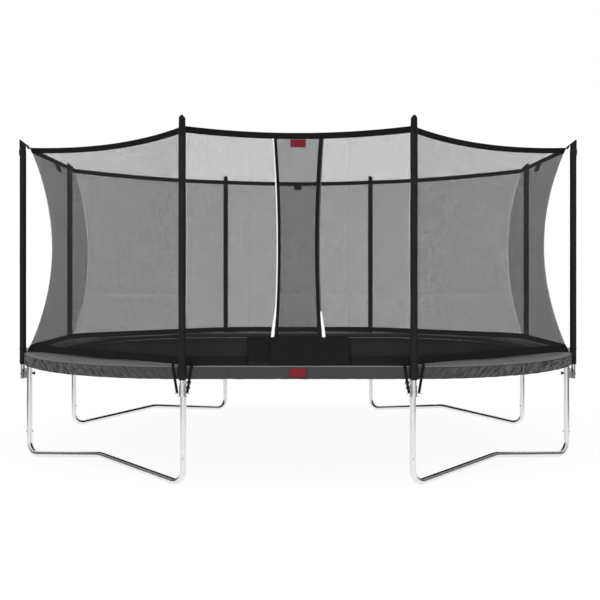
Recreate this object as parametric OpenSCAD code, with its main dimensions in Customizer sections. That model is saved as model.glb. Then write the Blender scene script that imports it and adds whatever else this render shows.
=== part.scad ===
// Oval garden trampoline with a safety net on eight posts. Millimetres, +Z up,
// origin on the ground under the centre, X along the long axis, entrance at -Y.

/* [Plan] */
// Half the length of the straight sides
half_straight = 895; // [600:5:1200]
// Distance of the side posts from the ends of the straight sides
side_post_inset = 10; // [0:1:60]
// Centreline radius of the frame ring at the round ends
ring_r = 1672; // [1400:1:1900]
// Height of the ring's centreline above the ground
ring_z = 885; // [700:1:1000]
// Angle of the end posts from the long axis
end_post_angle = 23.7; // [16:0.1:28]

/* [Tubes] */
// Outer diameter of the ring and leg tubes
tube_d = 48; // [42:0.5:52]
// Wall of the ring and leg tubes
tube_wall = 2; // [1.5:0.1:3]
// Radial clearance of every spigot in its tube
spigot_gap = 0.2; // [0.1:0.05:0.5]
// Half the length of a spigot inside each rail
spigot_reach = 80; // [50:1:120]
// Length of straight tube that each corner rail adds to its bend
corner_overrun = 150; // [100:5:250]
// Angle on the round ends where corner rails meet the end rails
rail_joint_angle = 30; // [29:0.5:34]

/* [Legs] */
// Wall of the leg sockets under the ring
socket_wall = 2.3; // [1.5:0.1:4]
// Distance of the sockets' lower edge below the ring's centreline
socket_drop = 93; // [80:1:115]
// Height of the joint between upright and base
base_joint_z = 190; // [160:1:260]
// Bend radius of the feet on the tube's centreline
foot_bend_r = 100; // [80:1:130]
// Slope of the base tubes up to the raised middle
base_slope = 7; // [4:0.5:10]
// Bend radius of the raised middle
middle_bend_r = 300; // [150:10:500]
// Shank diameter of the leg screws
leg_screw_d = 8; // [6:0.5:10]

/* [Net posts] */
// Distance of the posts' centrelines outside the ring's centreline
post_offset = 57; // [56:1:74]
// Outer diameter of the post tubes
post_d = 38; // [32:0.5:40]
// Wall of the post tubes
post_wall = 2; // [1.5:0.1:3]
// Length of the posts below their brackets
post_tail = 6; // [2:1:40]
// Distance of the sleeves' lower end below the ring's centreline
sleeve_drop = 59; // [40:1:70]
// Wall of the foam sleeves
sleeve_wall = 9; // [6:0.5:11]
// Height of the foam sleeves' upper end above the ground
sleeve_top = 2765; // [2600:1:2900]
// Height of the caps above the sleeves, on their outer side
cap_h = 76; // [65:1:90]
// Drop of the cap's slanted top towards the net
cap_drop = 38; // [20:1:50]
// How far the caps' sides stand back from the sleeves
cap_inset = 2.5; // [0:0.5:3]

/* [Brackets] */
// Gap between the brackets and the leg sockets
bracket_gap = 7; // [4:1:20]
// Height of the post brackets
bracket_h = 82; // [60:1:85]
// Width of the post brackets
bracket_w = 45; // [42:1:50]
// Height of the post bolts above the brackets' lower edge
bolt_rise = 37; // [28:1:44]
// Shank diameter of the post bolts
bolt_d = 8; // [6:0.5:10]
// Diameter of the hand knobs
knob_d = 28; // [26:1:40]
// Length of the hand knobs
knob_h = 22; // [20:1:40]

/* [Mat] */
// Width of the sewn webbing round the mat
webbing_w = 32; // [25:1:40]
// Thickness of the mat
mat_t = 4; // [2:0.5:6]
// Thickness of the sewn webbing
webbing_t = 6; // [4:0.5:8]
// Wire diameter of the mat rings
ring_wire = 4; // [3:0.5:5]
// Middle diameter of the mat rings
mat_ring_d = 20; // [16:1:24]

/* [Springs] */
// Outer diameter of the spring bodies
spring_d = 25; // [20:0.5:28]
// Stretched length of the springs, from mat ring to frame
spring_reach = 219; // [200:1:260]
// Length of the spring bodies
spring_body = 150; // [120:1:170]
// Diameter of the spring hooks
hook_d = 5; // [3:0.5:6]
// Springs on each straight side
springs_side = 13; // [9:1:17]
// Springs on each round end
springs_end = 37; // [25:1:45]

/* [Pad] */
// Distance of the pad's inner edge outside the mat's open field
pad_lap = 8; // [4:1:30]
// Distance of the skirt outside the ring's centreline
pad_reach = 53; // [46:1:60]
// Height of the pad's outer edge above the ring's centreline
pad_edge_rise = 45; // [38:1:55]
// Rise of the crown above the outer edge
pad_crown = 15; // [8:1:20]
// Height of the pad's inner edge above the ring's centreline
pad_inner_rise = 27; // [22:1:40]
// Height of the hanging skirt
skirt_h = 99; // [80:1:110]
// Thickness of the skirt
skirt_t = 3; // [2:0.5:5]
// Angle of the seams between the pad sections
pad_seam_angle = 58; // [40:1:64]
// Gap around the sleeves where they pass the pad
notch_gap = 2; // [1:0.5:4]
// Height of the pad's underside over the mat and the springs
pad_clearance = 5; // [2:0.5:8]

/* [Net] */
// Distance of the net inside the post line, along the bottom
net_bottom_gap = 38; // [36:1:50]
// Distance of the net inside the post line, along the top
net_top_gap = 60; // [40:1:80]
// How far the net is drawn in at mid height
net_waist = 200; // [100:1:260]
// How far the top edge is drawn in between two front posts
net_bow = 110; // [40:1:160]
// How far the top edge is drawn in across the round ends
net_end_bow = 15; // [5:1:100]
// How far the top edge sags between two front posts
net_sag = 34; // [10:1:60]
// Gap between the pad's top and the net's lower edge
net_rise = 4.5; // [3.5:0.5:20]
// Height of the net's upper edge above the sleeves' upper end
net_top_rise = 13; // [0:1:30]
// Thickness of the net and of the sewn edges
net_t = 3; // [2:0.5:4]
// Height of the top band
band_h = 52; // [40:1:70]
// Height of the bottom hem
hem_h = 58; // [40:1:80]
// Half the width of the doorway between the fixed net edges
door_half = 395; // [330:5:480]
// Overlap of the two flaps past the middle, at mid height
flap_overlap = 150; // [80:5:250]
// Extra overlap of the flaps at their top and bottom ends
flap_flare = 32; // [0:1:60]
// Height of the solid lower part of the flaps
flap_base_h = 205; // [150:5:260]
// Extra width of the solid lower part past the flap's free edge
flap_base_ext = 55; // [20:5:80]
// Height of the flaps' lower edge above the pad's crown
flap_rise = 7; // [6:0.5:20]
// Distance of each flap from the net's own surface
flap_offset = 6; // [5:0.5:8]
// Gap between the flaps and the top band
flap_top_gap = 9; // [8:0.5:14]

/* [Straps] */
// Width of the hold-down straps
strap_w = 25; // [18:1:30]
// Thickness of all straps
strap_t = 2; // [1:0.5:2.5]
// Distance of the strap from the post line where it crosses the pad's edge
strap_spread = 70; // [60:1:85]
// Distance of the strap from the post line at its hook
strap_hook_spread = 42; // [38:1:55]
// Length of the straps below the skirt
strap_tail = 109; // [90:1:118]
// Middle diameter of the corner rings
corner_ring_d = 20; // [16:1:24]
// Wire diameter of the corner rings
corner_ring_wire = 3; // [2:0.5:4]

/* [Hidden] */

$fn = 96;
fine = 24;             // facets of small round parts
net_cols = 8;          // facets of a bay along its top edge
eps = 0.3;             // gap that keeps touching soft parts apart
bend_swell = 0.3;      // bends are this much thicker than the straights they join
lap = 1;               // length that a straight runs into its bend
tube_r = tube_d / 2;
socket_d = tube_d + 2 * (spigot_gap + socket_wall);
sleeve_d = post_d + 2 * sleeve_wall;
cap_d = sleeve_d - 2 * cap_inset;
post_r = ring_r + post_offset;
net_bottom_r = post_r - net_bottom_gap;
net_top_r = post_r - net_top_gap;
spring_outer = ring_r - tube_r - bend_swell - eps;
spring_inner = spring_outer - spring_reach;
mat_r = spring_inner - 2 * eps - mat_ring_d - ring_wire - webbing_w;
pad_inner_r = mat_r + pad_lap;
pad_outer_r = ring_r + pad_reach;
tube_in = tube_r - tube_wall;
spigot_out = tube_in - spigot_gap;
spigot_in = spigot_out - tube_wall;
socket_bottom = ring_z - socket_drop;
bracket_bottom = socket_bottom - bracket_gap - bracket_h;
bolt_z = bracket_bottom + bolt_rise;
post_bottom = bracket_bottom - post_tail;
sleeve_bottom = ring_z - sleeve_drop;
pad_edge_z = ring_z + pad_edge_rise;
pad_inner_z = ring_z + pad_inner_rise;
skirt_bottom = pad_edge_z - skirt_h;
strap_bottom_z = skirt_bottom - strap_tail;
net_bottom_z = crown_z(net_bottom_r) + net_rise;
pad_top_z = crown_z((pad_inner_r + pad_outer_r) / 2);
net_lift = 2.2 * (pad_top_z - crown_z(net_bottom_r));  // clears the crown where a bay crosses the pad
net_top_z = sleeve_top + net_top_rise;
ring_top = ring_z + tube_r;
ring_bottom = ring_z - tube_r;
upright_top = ring_bottom - 10;
foot_z = foot_bend_r + tube_r + bend_swell;
post_in = post_d / 2 - post_wall;
leg_dx = -post_offset;
post_top = sleeve_top + 34;
cap_top = sleeve_top + cap_h;
mat_top = ring_z + mat_t / 2;
webbing_r = mat_r + webbing_w;
notch_r = sleeve_d / 2 + notch_gap;
hinge_z = net_top_z - net_sag - band_h;

// Posts run counter-clockwise from the rear post of the right end.
ANGLES = [end_post_angle, 90, 90, 180 - end_post_angle,
          180 + end_post_angle, 270, 270, 360 - end_post_angle];
SIDES = [1, 1, -1, -1, -1, -1, 1, 1];

function next(i) = (i + 1) % 8;
function post_x(i) = SIDES[i] * (half_straight - (ANGLES[i] % 180 == 90 ? side_post_inset : 0));
function out_dir(i) = [cos(ANGLES[i]), sin(ANGLES[i])];
function post_point(i, r) = [post_x(i), 0] + r * out_dir(i);
function mix(a, b, u) = a + (b - a) * u;
function arch(u) = 4 * u * (1 - u);
function left_of(v) = [-v[1], v[0]] / norm(v);

// Puts children at a post line, with +X pointing out of the trampoline.
module at_post(i, r) {
    translate([post_x(i), 0, 0]) rotate([0, 0, ANGLES[i]]) translate([r, 0, 0]) children();
}

module at_posts(r) {
    for (i = [0:7]) at_post(i, r) children();
}

module on_end(side) {
    translate([side * half_straight, 0, 0]) children();
}

// ---- round tubes ----
module tube_ring(outer, inner) {
    difference() {
        circle(r = outer);
        circle(r = inner);
    }
}

module straight_tube(outer, inner, h) {
    linear_extrude(h) tube_ring(outer, inner);
}

module bent_tube(bend_r, outer, inner, angle) {
    rotate_extrude(angle = angle) translate([bend_r, 0]) tube_ring(outer, inner);
}

module bent_rod(bend_r, r, angle) {
    rotate_extrude(angle = angle) translate([bend_r, 0]) circle(r = r);
}

// Ring tube along one round end, from angle a0 to a1.
module ring_arc(side, a0, a1, outer, inner) {
    translate([side * half_straight, 0, ring_z]) rotate([0, 0, a0]) bent_tube(ring_r, outer, inner, a1 - a0);
}

// Ring tube along one straight side, from x0 to x1.
module ring_straight(front, x0, x1, outer, inner) {
    translate([x0, front * ring_r, ring_z]) rotate([0, 90, 0]) straight_tube(outer, inner, x1 - x0);
}

module side_rail(front) {
    reach = half_straight - corner_overrun;
    color("silver") ring_straight(front, -reach, reach, tube_r, tube_in);
}

module end_rail(side) {
    start = side > 0 ? -rail_joint_angle : 180 - rail_joint_angle;
    color("silver") ring_arc(side, start, start + 2 * rail_joint_angle, tube_r, tube_in);
}

// The right rear corner's centreline, filled to radius r and run past its ends by extra.
module corner_fill(r, extra) {
    over = extra / ring_r * 180 / PI;
    translate([half_straight, 0, ring_z]) rotate([0, 0, rail_joint_angle - over])
        bent_rod(ring_r, r + bend_swell, 90 - rail_joint_angle + over);
    translate([half_straight - corner_overrun - extra, ring_r, ring_z]) rotate([0, 90, 0])
        cylinder(r = r, h = corner_overrun + extra + lap);
}

// Corner rail of the right rear quarter, mirrored into the others.
module corner_rail(side, front) {
    mirror([side < 0 ? 1 : 0, 0, 0]) mirror([0, front < 0 ? 1 : 0, 0]) color("silver") difference() {
        corner_fill(tube_r, 0);
        corner_fill(tube_in, 1);
    }
}

module rail_spigots() {
    reach = asin(spigot_reach / ring_r);
    joint_x = half_straight - corner_overrun;
    color("gray") for (side = [-1, 1]) for (front = [-1, 1]) {
        ring_straight(front, side * joint_x - spigot_reach, side * joint_x + spigot_reach,
                      spigot_out, spigot_in);
        mid = side > 0 ? front * rail_joint_angle : 180 - front * rail_joint_angle;
        ring_arc(side, mid - reach, mid + reach, spigot_out, spigot_in);
    }
}

// Sockets welded under the ring, coped to its tube.
module leg_sockets() {
    color("silver") at_posts(ring_r) difference() {
        translate([0, 0, socket_bottom]) cylinder(r = socket_d / 2, h = ring_z - 10 - socket_bottom);
        translate([0, 0, socket_bottom - 1])
            cylinder(r = tube_r + spigot_gap, h = upright_top + 1 - socket_bottom);
        translate([0, socket_d, ring_z]) rotate([90, 0, 0])
            cylinder(r = tube_r + bend_swell + eps, h = 2 * socket_d);
    }
}

// ---- legs ----
module cross_hole(z, d, reach) {
    translate([-reach, 0, z]) rotate([0, 90, 0]) cylinder(r = d / 2, h = 2 * reach, $fn = fine);
}

module upright(i) {
    color("silver") at_post(i, ring_r) difference() {
        translate([0, 0, base_joint_z]) straight_tube(tube_r, tube_in, upright_top - base_joint_z);
        cross_hole(base_joint_z + 25, leg_screw_d + 0.6, tube_d);
        cross_hole(bolt_z, bolt_d + 0.6, tube_d);
    }
}

// The base in its own upright plane, filled to radius r and above neck_z to spigot_r:
// u along the base, z up.
module base_run(half, r, spigot_r, neck_z, extra) {
    foot_u = half - foot_bend_r;
    slope_u = foot_u - foot_bend_r * sin(base_slope);
    slope_z = foot_z - foot_bend_r * cos(base_slope);
    mid_u = middle_bend_r * sin(base_slope);
    run = (slope_u - mid_u) / cos(base_slope);
    mid_z = slope_z + (slope_u - mid_u) * tan(base_slope) - middle_bend_r * cos(base_slope);
    for (m = [0, 1]) mirror([m, 0, 0]) {
        translate([-half, 0, foot_z - lap]) cylinder(r = r, h = neck_z - foot_z + lap);
        translate([-half, 0, neck_z - lap])
            cylinder(r = spigot_r, h = base_joint_z + spigot_reach + extra + lap - neck_z);
        translate([-foot_u, 0, foot_z]) rotate([90, 0, 0]) rotate([0, 0, 180])
            bent_rod(foot_bend_r, r + bend_swell, 90 + base_slope);
        translate([-slope_u, 0, slope_z]) rotate([0, 90 - base_slope, 0]) translate([0, 0, -lap])
            cylinder(r = r, h = run + 2 * lap);
    }
    translate([0, 0, mid_z]) rotate([90, 0, 0]) rotate([0, 0, 90 - base_slope])
        bent_rod(middle_bend_r, r + bend_swell, 2 * base_slope);
}

module leg_base(i, j) {
    p = post_point(i, ring_r);
    q = post_point(j, ring_r);
    mid = (p + q) / 2;
    half = norm(q - p) / 2;
    turn = atan2(q[1] - p[1], q[0] - p[0]);
    color("silver") difference() {
        translate([mid[0], mid[1], 0]) rotate([0, 0, turn]) difference() {
            base_run(half, tube_r, spigot_out, base_joint_z, 0);
            base_run(half, tube_in, spigot_in, base_joint_z - 2 * tube_wall, 1);
        }
        at_post(i, ring_r) cross_hole(base_joint_z + 25, leg_screw_d + 0.6, tube_d);
        at_post(j, ring_r) cross_hole(base_joint_z + 25, leg_screw_d + 0.6, tube_d);
    }
}

module leg_screws() {
    head_r = leg_screw_d * 0.95;
    color("gray") at_posts(ring_r) translate([0, 0, base_joint_z + 25]) rotate([0, 90, 0]) {
        translate([0, 0, -tube_r - 7]) cylinder(r = leg_screw_d / 2, h = tube_d + 7, $fn = fine);
        translate([0, 0, tube_r]) cylinder(r = head_r, h = 4, $fn = fine);
        translate([0, 0, -tube_r - 6]) cylinder(r = head_r, h = 6, $fn = 6);
    }
}

// ---- net posts ----
module post(i) {
    color("silver") at_post(i, post_r) difference() {
        translate([0, 0, post_bottom]) straight_tube(post_d / 2, post_in, post_top - post_bottom);
        cross_hole(bolt_z, bolt_d + 0.6, post_d);
    }
}

module post_sleeves() {
    color("dimgray") at_posts(post_r) translate([0, 0, sleeve_bottom])
        straight_tube(sleeve_d / 2, post_d / 2 + eps, sleeve_top - sleeve_bottom);
}

module cap_slant() {
    lean = atan(cap_drop / cap_d);
    translate([cap_d / 2, 0, cap_top]) rotate([0, -lean, 0]) translate([-2 * cap_d, -cap_d, 0])
        cube([3 * cap_d, 2 * cap_d, 2 * cap_h]);
}

module post_caps() {
    color("black") at_posts(post_r) difference() {
        translate([0, 0, sleeve_top]) cylinder(r = cap_d / 2, h = cap_h);
        translate([0, 0, sleeve_top - 1]) cylinder(r = post_d / 2 + eps, h = post_top + 1.5 - sleeve_top);
        cap_slant();
    }
}

// Saddle between the leg upright and the post tube, seen with the post at the origin.
module post_brackets() {
    web = -leg_dx - tube_r - post_d / 2;
    color("silver") at_posts(post_r) translate([0, 0, bracket_bottom]) difference() {
        translate([leg_dx + tube_r * 0.45, -bracket_w / 2, 0])
            cube([-leg_dx - tube_r * 0.45 + post_d * 0.3, bracket_w, bracket_h]);
        translate([0, 0, -1]) cylinder(r = post_d / 2 + spigot_gap, h = bracket_h + 2);
        translate([leg_dx, 0, -1]) cylinder(r = tube_r + spigot_gap, h = bracket_h + 2);
        translate([-post_d / 2 - web * 0.7, -bracket_w / 2 - 1, bracket_h * 0.62])
            cube([web * 0.4, bracket_w + 2, bracket_h]);
        cross_hole(bolt_z - bracket_bottom, bolt_d + 0.6, -leg_dx);
    }
}

module bracket_bolts() {
    head_x = post_d / 2;
    shank = head_x - leg_dx + tube_r + 1 + knob_h * 0.6;
    color("gray") at_posts(post_r) translate([head_x, 0, bolt_z]) rotate([0, 90, 0]) {
        translate([0, 0, -shank]) cylinder(r = bolt_d / 2, h = shank, $fn = fine);
        cylinder(r = bolt_d, h = 5, $fn = 6);
    }
}

module bracket_knobs() {
    lobes = 6;
    color("black") at_posts(ring_r) translate([-tube_r - 1, 0, bolt_z]) rotate([0, -90, 0]) difference() {
        union() {
            cylinder(r = knob_d * 0.3, h = knob_h, $fn = 48);
            translate([0, 0, knob_h * 0.4]) cylinder(r = knob_d / 2, h = knob_h * 0.6, $fn = 48);
        }
        for (k = [0:lobes - 1]) rotate([0, 0, k * 360 / lobes]) translate([knob_d * 0.56, 0, -1])
            cylinder(r = knob_d * 0.12, h = knob_h + 2, $fn = fine);
        translate([0, 0, -1]) cylinder(r = bolt_d / 2 + 0.05, h = knob_h * 0.6 + 1.1, $fn = fine);
    }
}

// ---- mat and springs ----
module oval(r) {
    translate([-half_straight, -r]) square([2 * half_straight, 2 * r]);
    for (side = [-1, 1]) translate([side * half_straight, 0]) circle(r = r, $fn = 180);
}

module mat() {
    color("black") translate([0, 0, ring_z - mat_t / 2]) linear_extrude(mat_t) oval(mat_r);
}

module mat_webbing() {
    color("dimgray") translate([0, 0, ring_z - webbing_t / 2]) linear_extrude(webbing_t) difference() {
        oval(webbing_r);
        oval(mat_r);
    }
}

// Places children round the oval, +X outwards, at radius r and the ring's height.
module around(r) {
    pitch = 2 * half_straight / springs_side;
    step = 180 / springs_end;
    for (side = [-1, 1]) {
        for (k = [0:springs_end - 1])
            translate([side * half_straight, 0, ring_z]) rotate([0, 0, (k + 0.5) * step - 90 * side])
                translate([r, 0, 0]) children();
        for (k = [0:springs_side - 1])
            translate([(k + 0.5) * pitch - half_straight, side * r, ring_z]) rotate([0, 0, side * 90])
                children();
    }
}

module mat_rings() {
    color("silver") around(webbing_r + eps + (mat_ring_d + ring_wire) / 2)
        rotate_extrude($fn = fine) translate([mat_ring_d / 2, 0]) circle(r = ring_wire / 2, $fn = 8);
}

module springs() {
    lead = (spring_reach - spring_body) / 2;
    color("silver") around(spring_inner) rotate([0, 90, 0]) rotate_extrude($fn = fine) polygon([
        [0, 0], [hook_d / 2, 0], [hook_d / 2, lead], [spring_d / 2, lead + 6],
        [spring_d / 2, lead + spring_body - 6], [hook_d / 2, lead + spring_body],
        [hook_d / 2, spring_reach], [0, spring_reach]]);
}

// ---- edge pad ----
function crown_z(r) = let (u = (r - pad_inner_r) / (pad_outer_r - pad_inner_r))
    mix(pad_inner_z, pad_edge_z, u) + pad_crown * 1.35 * arch(u);

module pad_section() {
    steps = 8;
    width = pad_outer_r - pad_inner_r;
    coil_start = spring_inner + (spring_reach - spring_body) / 2 - pad_clearance;
    coil_top = ring_z + spring_d / 2 + 1;
    crown = [for (k = [0:steps]) let (r = pad_inner_r + 4 + (width - 12) * k / steps) [r, crown_z(r)]];
    polygon(concat(
        [[pad_inner_r, mat_top + pad_clearance], [pad_inner_r, pad_inner_z - 5]], crown,
        [[pad_outer_r, pad_edge_z - 9], [pad_outer_r, skirt_bottom], [pad_outer_r - skirt_t, skirt_bottom],
         [pad_outer_r - skirt_t, ring_top - 2], [pad_outer_r - 8, ring_top + eps],
         [spring_outer - 4, ring_top + eps], [spring_outer - 14, coil_top], [coil_start, coil_top]]));
}

module pad_arc(side, a0, a1) {
    on_end(side) rotate([0, 0, a0]) rotate_extrude(angle = a1 - a0, $fn = 180) pad_section();
}

module pad_notches() {
    at_posts(post_r) translate([0, 0, skirt_bottom - 1]) cylinder(r = notch_r, h = 200, $fn = 48);
}

// Long sections along a straight side, front = 1 at the rear.
module side_pad(front) {
    seam = pad_seam_angle + 0.03;
    color("gray") difference() {
        mirror([0, front < 0 ? 1 : 0, 0]) union() {
            pad_arc(1, seam, 90);
            pad_arc(-1, 90, 180 - seam);
            translate([-half_straight, 0, 0]) rotate([90, 0, 90]) linear_extrude(2 * half_straight)
                pad_section();
        }
        pad_notches();
    }
}

module end_pad(side) {
    seam = pad_seam_angle - 0.03;
    color("gray") difference() {
        pad_arc(side, side > 0 ? -seam : 180 - seam, side > 0 ? seam : 180 + seam);
        pad_notches();
    }
}

// ---- net ----
// Plan point of the net in the bay after post i: u along the bay, t up the net.
function net_r(t) = mix(net_bottom_r, net_top_r, t) - net_waist * arch(t);
function bay_bow(i) = i % 4 == 3 ? net_end_bow
    : net_bow * norm(post_point(next(i), net_top_r) - post_point(i, net_top_r)) / (2 * post_x(6));
function bay_sag(i) = bay_bow(i) * net_sag / net_bow;
function net_xy(i, u, t, off) = let (a = post_point(i, net_r(t)), b = post_point(next(i), net_r(t)),
    n = left_of(b - a)) mix(a, b, u) + n * (bay_bow(i) * arch(u) * t * (0.4 + 0.6 * t) - off);
function bay_lift(i) = i % 4 == 1 ? 0 : net_lift;
function net_z(i, u, t) = mix(net_bottom_z + bay_lift(i) * arch(u), net_top_z - bay_sag(i) * arch(u), t);
function net_point(i, u, t, off) = let (p = net_xy(i, u, t, off)) [p[0], p[1], net_z(i, u, t)];

// Closed skin over rows of points: outer and inner hold the same grid, row by row.
module skin(outer, inner) {
    rows = len(outer);
    cols = len(outer[0]);
    n = rows * cols;
    points = [for (side = [outer, inner]) for (row = side) for (p = row) p];
    function at(s, r, c) = s * n + r * cols + c;
    faces = concat(
        [for (r = [0:rows - 2]) for (c = [0:cols - 2]) each [
            [at(0, r, c), at(0, r + 1, c + 1), at(0, r, c + 1)],
            [at(0, r, c), at(0, r + 1, c), at(0, r + 1, c + 1)],
            [at(1, r, c), at(1, r, c + 1), at(1, r + 1, c + 1)],
            [at(1, r, c), at(1, r + 1, c + 1), at(1, r + 1, c)]]],
        [for (c = [0:cols - 2]) each [
            [at(0, 0, c), at(0, 0, c + 1), at(1, 0, c + 1)],
            [at(0, 0, c), at(1, 0, c + 1), at(1, 0, c)],
            [at(0, rows - 1, c), at(1, rows - 1, c + 1), at(0, rows - 1, c + 1)],
            [at(0, rows - 1, c), at(1, rows - 1, c), at(1, rows - 1, c + 1)]]],
        [for (r = [0:rows - 2]) each [
            [at(0, r, 0), at(1, r, 0), at(1, r + 1, 0)],
            [at(0, r, 0), at(1, r + 1, 0), at(0, r + 1, 0)],
            [at(0, r, cols - 1), at(1, r + 1, cols - 1), at(1, r, cols - 1)],
            [at(0, r, cols - 1), at(0, r + 1, cols - 1), at(1, r + 1, cols - 1)]]]);
    polyhedron(points = points, faces = faces);
}

// Part of a bay between u0 and u1 (each may vary with height) and t0 and t1.
module net_patch(i, u0, u1, t0, t1, cols, rows) {
    function grid(o) = [for (r = [0:rows]) let (t = mix(t0, t1, r / rows)) [for (c = [0:cols])
        net_point(i, mix(u0(t), u1(t), c / cols), t, o)]];
    skin(grid(net_t / 2), grid(-net_t / 2));
}

net_span = net_top_z - net_bottom_z;
hem_t = hem_h / net_span;
band_t = 1 - band_h / net_span;
seam_t = eps / net_span;
function bay_gap(i) = net_t / norm(post_point(next(i), net_r(0.5)) - post_point(i, net_r(0.5)));
function front_u(x) = (x + post_x(6)) / (2 * post_x(6));

module net_bay(i) {
    gap = bay_gap(i);
    color("darkgray") net_patch(i, function (t) gap, function (t) 1 - gap,
                                hem_t + seam_t, band_t - seam_t, net_cols, 10);
}

module net_front_side(side) {
    gap = bay_gap(5);
    start = side < 0 ? gap : front_u(door_half);
    end = side < 0 ? front_u(-door_half) : 1 - gap;
    color("darkgray") net_patch(5, function (t) start, function (t) end,
                                hem_t + seam_t, band_t - seam_t, 4, 10);
}

module net_top_band() {
    color("black") for (i = [0:7]) {
        gap = bay_gap(i);
        net_patch(i, function (t) gap, function (t) 1 - gap, band_t, 1, net_cols, 1);
    }
}

module net_bottom_hem() {
    color("black") for (i = [0:7]) {
        gap = bay_gap(i);
        if (i != 5) net_patch(i, function (t) gap, function (t) 1 - gap, 0, hem_t, net_cols, 1);
    }
    gap = bay_gap(5);
    color("black") net_patch(5, function (t) gap, function (t) front_u(-door_half), 0, hem_t, 2, 1);
    color("black") net_patch(5, function (t) front_u(door_half), function (t) 1 - gap, 0, hem_t, 2, 1);
}

// Free edge of a flap, as a distance past the doorway's middle.
function free_edge(t) = flap_overlap + flap_flare * pow(2 * t - 1, 2);

// side = 1: outer flap, carried on the right; side = -1: inner flap, carried on the left.
module flap(side) {
    low_t = (pad_top_z + flap_rise - net_bottom_z) / net_span;
    base_t = flap_base_h / net_span;
    top_t = 1 - (band_h + flap_top_gap) / net_span;
    fixed_x = side * (door_half - 1);
    heights = concat([for (k = [0:2]) mix(low_t, base_t, k / 2)],
                     [for (k = [0:10]) mix(base_t + 2 * net_t / net_span, top_t, k / 10)]);
    function edge_x(t) = -side * (free_edge(t) + (t > base_t ? 0 : flap_base_ext));
    function grid(o) = [for (t = heights) let (x0 = min(fixed_x, edge_x(t)), x1 = max(fixed_x, edge_x(t)))
        [for (c = [0:8]) net_point(5, front_u(mix(x0, x1, c / 8)), t, side * flap_offset + o)]];
    color("dimgray") skin(grid(net_t / 2), grid(-net_t / 2));
}

// ---- straps and rings ----
// Flat strap in a post's own frame: points are [x, z], y0 to y1 along its length.
module strap(path, y0, y1, w) {
    last = len(path) - 1;
    function dir(k) = let (a = path[max(k - 1, 0)], b = path[min(k + 1, last)]) (b - a) / norm(b - a);
    function row(k, s) = let (d = dir(k), p = path[k] + s * strap_t / 2 * [d[1], -d[0]],
                              y = mix(y0, y1, k / last))
        [[p[0], y - w / 2, p[1]], [p[0], y + w / 2, p[1]]];
    skin([for (k = [0:last]) row(k, 1)], [for (k = [0:last]) row(k, -1)]);
}

module hold_down_straps() {
    edge_x = pad_outer_r - post_r;
    face_x = edge_x + strap_t / 2 + eps;
    path = [[net_bottom_r - post_r + 4, net_bottom_z + 6], [edge_x - 3, net_bottom_z - 2],
            [face_x, pad_edge_z - 4], [face_x, skirt_bottom], [face_x - 2, strap_bottom_z]];
    color("black") at_posts(post_r) for (s = [-1, 1])
        strap(path, s * strap_spread, s * strap_hook_spread, strap_w);
}

module corner_straps() {
    lean = cap_drop / cap_d;
    lift = strap_t * 0.8 + eps;
    half = cap_d / 2;
    side = strap_t / 2 + eps;
    path = [[net_top_r - post_r + 5, net_top_z - 8], [-half, cap_top - cap_drop + lift],
            [half - 1, cap_top + lift - lean], [half + side, cap_top - 3],
            [sleeve_d / 2 + side, sleeve_top + side], [sleeve_d / 2 + side, sleeve_top - 60]];
    color("black") at_posts(post_r) strap(path, 0, 0, strap_w * 0.5);
}

module corner_rings() {
    x = (net_bottom_r + net_t / 2 + post_r - sleeve_d / 2) / 2;
    color("silver") at_posts(x) translate([0, 0, net_bottom_z + corner_ring_d]) rotate([0, 90, 0])
        rotate_extrude($fn = 32) translate([corner_ring_d / 2, 0]) circle(r = corner_ring_wire / 2, $fn = 16);
}

side_rail(-1);  // rail_front
side_rail(1);  // rail_rear
end_rail(-1);  // rail_left_end
end_rail(1);  // rail_right_end
corner_rail(1, 1);  // rail_right_rear
corner_rail(-1, 1);  // rail_left_rear
corner_rail(-1, -1);  // rail_left_front
corner_rail(1, -1);  // rail_right_front
rail_spigots();
leg_sockets();
upright(0);  // upright_right_rear_end
upright(1);  // upright_right_rear
upright(2);  // upright_left_rear
upright(3);  // upright_left_rear_end
upright(4);  // upright_left_front_end
upright(5);  // upright_left_front
upright(6);  // upright_right_front
upright(7);  // upright_right_front_end
leg_base(0, 1);  // leg_base_right_rear
leg_base(2, 3);  // leg_base_left_rear
leg_base(4, 5);  // leg_base_left_front
leg_base(6, 7);  // leg_base_right_front
leg_screws();
post(0);  // post_right_rear_end
post(1);  // post_right_rear
post(2);  // post_left_rear
post(3);  // post_left_rear_end
post(4);  // post_left_front_end
post(5);  // post_left_front
post(6);  // post_right_front
post(7);  // post_right_front_end
post_sleeves();
post_caps();
post_brackets();
bracket_bolts();
bracket_knobs();
mat();
mat_webbing();
mat_rings();
springs();
side_pad(-1);  // pad_front
side_pad(1);  // pad_rear
end_pad(-1);  // pad_left
end_pad(1);  // pad_right
net_bay(0);  // net_right_rear
net_bay(1);  // net_rear
net_bay(2);  // net_left_rear
net_bay(3);  // net_left_end
net_bay(4);  // net_left_front
net_bay(6);  // net_right_front
net_bay(7);  // net_right_end
net_front_side(-1);  // net_front_left
net_front_side(1);  // net_front_right
net_top_band();
net_bottom_hem();
flap(1);  // flap_outer
flap(-1);  // flap_inner
hold_down_straps();
corner_straps();
corner_rings();
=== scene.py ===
import math
import bmesh
import bpy
from mathutils import Matrix, Vector, noise


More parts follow.
